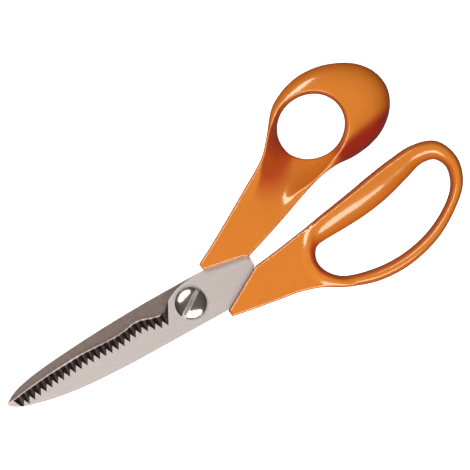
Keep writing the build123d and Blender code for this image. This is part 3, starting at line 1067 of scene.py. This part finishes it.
class SHEARS_OT_pivot(bpy.types.Operator):
    """Finish the pivot screw, its post and the washer"""

    bl_idname = "shears.pivot"
    bl_label = "Pivot"

    def execute(self, context):
        settings = context.scene.shears_steel
        polished = polished_steel(settings)
        finish_node("pivot_screw", polished)
        finish_node("pivot_post", polished)
        finish_node("friction_washer", washer_steel(settings))
        return {"FINISHED"}


# The camera's view, in millimetres: its middle, its width, and its turn in degrees.
VIEW_MIDDLE = (28.93, 15.42)
VIEW_WIDTH = 190.35
VIEW_TURN = -29.0
SENSOR_WIDTH = 36.0

# What the softboxes shine at, and how far they are from it, in metres.
SOFTBOX_TARGET = (0.03, 0.01, 0.0)
SOFTBOX_DISTANCE = 0.9


def add_softbox(name, direction, width, height, power, colour):
    """An oval area light that shines at the middle of the object."""
    light = bpy.data.lights.new(name, "AREA")
    light.shape = "ELLIPSE"
    light.size = width
    light.size_y = height
    light.energy = power
    light.color = colour
    box = bpy.data.objects.new(name, light)
    away = Vector(direction).normalized()
    box.location = Vector(SOFTBOX_TARGET) + away * SOFTBOX_DISTANCE
    box.rotation_euler = away.to_track_quat("Z", "Y").to_euler()
    box.visible_camera = False
    bpy.context.scene.collection.objects.link(box)


def add_camera(settings):
    """Looks straight down on the flat of the blades, with the blades pointing low left."""
    data = bpy.data.cameras.new("camera")
    data.lens = settings.lens
    data.sensor_width = SENSOR_WIDTH
    distance = VIEW_WIDTH * MM * settings.lens / SENSOR_WIDTH
    camera = bpy.data.objects.new("camera", data)
    east, north = VIEW_MIDDLE
    camera.location = (east * MM, north * MM, MIDDLE * MM + distance)
    camera.rotation_euler = (0.0, 0.0, math.radians(VIEW_TURN))
    bpy.context.scene.collection.objects.link(camera)
    bpy.context.scene.camera = camera


def add_floor(settings):
    """A plain white floor that only the camera sees, so that it doesn't light the object."""
    side = settings.floor_size / 2
    level = LOWEST * MM
    mesh = bpy.data.meshes.new("floor")
    corners = [(x * side, y * side, level) for x, y in ((-1, -1), (1, -1), (1, 1), (-1, 1))]
    mesh.from_pydata(corners, [], [(0, 1, 2, 3)])
    floor = bpy.data.objects.new("floor", mesh)
    bpy.context.scene.collection.objects.link(floor)
    shader = Shader("floor_white")
    shader.set(
        base_color=(0.9, 0.9, 0.9, 1.0),
        roughness=1.0,
        specular_ior_level=0.0,
        emission_color=(1.0, 1.0, 1.0, 1.0),
        emission_strength=0.97,
    )
    mesh.materials.append(shader.material)
    floor.visible_diffuse = False
    floor.visible_glossy = False


def room(nodes, stops):
    """Background light that changes with height, from straight down to straight up."""
    height = nodes.part(nodes.node("ShaderNodeTexCoord", output="Generated"), "Z")
    colour = nodes.node("ShaderNodeValToRGB", {"stops": stops}, {0: height * 0.5 + 0.5})
    return nodes.node("ShaderNodeBackground", inputs={"Color": colour})


def choose(nodes, test, first, second):
    """The second of two lights for the rays that pass a test, else the first."""
    passes = nodes.node("ShaderNodeLightPath", output=test)
    return nodes.node("ShaderNodeMixShader", inputs={0: passes, 1: first, 2: second})


def set_world():
    """A white room to the camera, a dark one to reflections and a warm bounce from below."""
    world = bpy.data.worlds.new("studio")
    world.use_nodes = True
    bpy.context.scene.world = world
    world.node_tree.nodes.clear()
    nodes = NodeTree(world.node_tree)
    reflected = room(
        nodes,
        [
            (0.0, (0.06, 0.05, 0.05)),
            (0.5, (0.05, 0.04, 0.04)),
            (0.62, (0.04, 0.035, 0.035)),
            (0.8, (0.12, 0.11, 0.10)),
            (1.0, (0.20, 0.18, 0.17)),
        ],
    )
    bounced = room(
        nodes,
        [
            (0.0, (0.55, 0.05, 0.05)),
            (0.5, (0.34, 0.03, 0.03)),
            (0.6, (0.10, 0.03, 0.03)),
            (0.8, (0.12, 0.10, 0.09)),
            (1.0, (0.18, 0.16, 0.15)),
        ],
    )
    white = nodes.node("ShaderNodeBackground", inputs={"Color": (1.0, 1.0, 1.0, 1.0)})
    light = choose(nodes, "Is Diffuse Ray", reflected, bounced)
    seen = choose(nodes, "Is Camera Ray", light, white)
    nodes.node("ShaderNodeOutputWorld", inputs={"Surface": seen})


class SHEARS_OT_stage(bpy.types.Operator):
    """Set up the camera, the floor and the studio light"""

    bl_idname = "shears.stage"
    bl_label = "Stage"

    def execute(self, context):
        settings = context.scene.shears_stage
        context.scene.view_settings.view_transform = "Standard"
        add_camera(settings)
        add_floor(settings)
        add_softbox(
            "key_light",
            direction=(-0.25, -0.70, 0.67),
            width=1.15,
            height=0.44,
            power=settings.key_power,
            colour=(0.93, 0.98, 0.80),
        )
        add_softbox(
            "fill_light",
            direction=(-0.22, 0.64, 0.74),
            width=0.95,
            height=0.34,
            power=settings.fill_power,
            colour=(0.93, 0.98, 0.84),
        )
        set_world()
        return {"FINISHED"}


class SHEARS_PT_panel(bpy.types.Panel):
    """Lists the steps that dress the shears"""

    bl_label = "Shears"
    bl_idname = "SHEARS_PT_panel"
    bl_space_type = "VIEW_3D"
    bl_region_type = "UI"
    bl_category = "Shears"

    def draw(self, context):
        for group in ("shears_handles", "shears_steel", "shears_stage"):
            settings = getattr(context.scene, group)
            for name in settings.__annotations__:
                self.layout.prop(settings, name)
        for step in STEPS:
            self.layout.operator(step.bl_idname)


STEPS = (SHEARS_OT_stage, SHEARS_OT_handles, SHEARS_OT_blades, SHEARS_OT_pivot)
GROUPS = {
    "shears_handles": ShearsHandleSettings,
    "shears_steel": ShearsSteelSettings,
    "shears_stage": ShearsStageSettings,
}


def register():
    for group, kind in GROUPS.items():
        bpy.utils.register_class(kind)
        setattr(bpy.types.Scene, group, bpy.props.PointerProperty(type=kind))
    for step in STEPS:
        bpy.utils.register_class(step)
    bpy.utils.register_class(SHEARS_PT_panel)


def unregister():
    bpy.utils.unregister_class(SHEARS_PT_panel)
    for step in reversed(STEPS):
        bpy.utils.unregister_class(step)
    for group, kind in GROUPS.items():
        delattr(bpy.types.Scene, group)
        bpy.utils.unregister_class(kind)


def main():
    register()
    bpy.ops.shears.stage()
    bpy.ops.shears.handles()
    bpy.ops.shears.blades()
    bpy.ops.shears.pivot()


if __name__ == "__main__":
    main()
